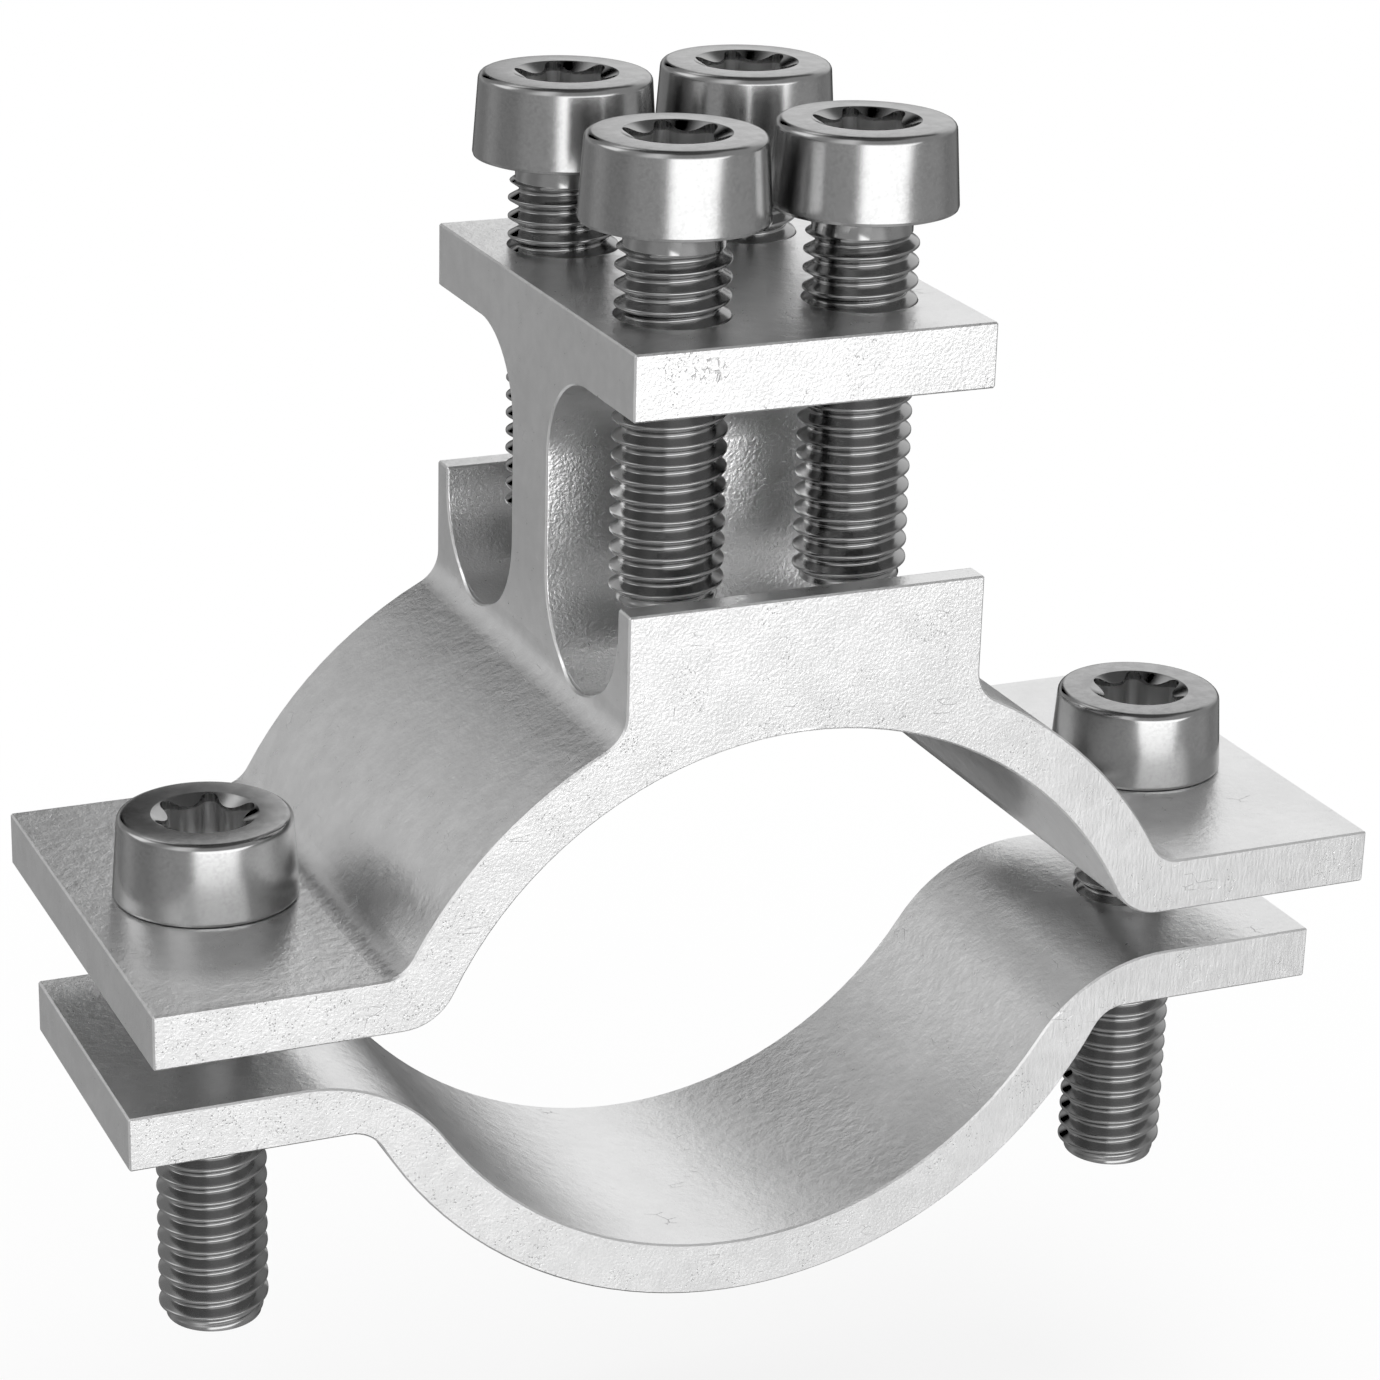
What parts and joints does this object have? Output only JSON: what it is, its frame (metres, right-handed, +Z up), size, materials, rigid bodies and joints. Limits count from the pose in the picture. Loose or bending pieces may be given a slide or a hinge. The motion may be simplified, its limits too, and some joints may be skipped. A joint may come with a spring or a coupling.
{
  "type": "earthing pipe clamp",
  "caption": "Split metal clamp for a pipe, drawn shut by screws through its ears, with open conductor channels under a plate of pressure screws.",
  "frame": {"origin": "on the pipe's axis, midway between the ears of the two halves", "axes": "+X from the left ear to the right ear, +Y along the pipe from the front face to the rear face, +Z up from the pipe to the terminal screws"},
  "size_m": [0.07, 0.028, 0.0659],
  "materials": {
    "casting": "pale, fine-grained cast surface with bright broken edges",
    "screw_steel": "bright zinc-plated steel, brushed along the head's side"
  },
  "bodies": {
    "upper_half": {"upper_half": "casting"},
    "lower_strap": {"lower_strap": "casting"},
    "clamp_screw_left": {"clamp_screw_left": "screw_steel"},
    "clamp_screw_right": {"clamp_screw_right": "screw_steel"},
    "terminal_screw_front_left": {"terminal_screw_front_left": "screw_steel"},
    "terminal_screw_front_right": {"terminal_screw_front_right": "screw_steel"},
    "terminal_screw_rear_left": {"terminal_screw_rear_left": "screw_steel"},
    "terminal_screw_rear_right": {"terminal_screw_rear_right": "screw_steel"}
  },
  "joints": [
    {"name": "lower_strap_slide", "type": "slide", "parent": "upper_half", "child": "lower_strap", "axis": [0, 0, 1], "range_m": [-0.013, 0.0049]},
    {"name": "clamp_screw_left_turn", "type": "hinge", "parent": "upper_half", "child": "clamp_screw_left", "pos_m": [-0.028, 0, 0.0055], "axis": [0, 0, -1], "range_deg": [-4686, 1770]},
    {"name": "clamp_screw_right_turn", "type": "hinge", "parent": "upper_half", "child": "clamp_screw_right", "pos_m": [0.028, 0, 0.0055], "axis": [0, 0, -1], "range_deg": [-4686, 1770]},
    {"name": "terminal_screw_front_left_slide", "type": "slide", "parent": "upper_half", "child": "terminal_screw_front_left", "axis": [0, 0, 1], "range_m": [-0.0038, 0.0116]},
    {"name": "terminal_screw_front_right_slide", "type": "slide", "parent": "upper_half", "child": "terminal_screw_front_right", "axis": [0, 0, 1], "range_m": [-0.0038, 0.0116]},
    {"name": "terminal_screw_rear_left_slide", "type": "slide", "parent": "upper_half", "child": "terminal_screw_rear_left", "axis": [0, 0, 1], "range_m": [-0.0038, 0.0116]},
    {"name": "terminal_screw_rear_right_slide", "type": "slide", "parent": "upper_half", "child": "terminal_screw_rear_right", "axis": [0, 0, 1], "range_m": [-0.0038, 0.0116]}
  ],
  "couplings": [
    {"joint": "clamp_screw_left_turn", "follows": "lower_strap_slide", "rad_per_m": 6283.2},
    {"joint": "clamp_screw_right_turn", "follows": "lower_strap_slide", "rad_per_m": 6283.2}
  ]
}
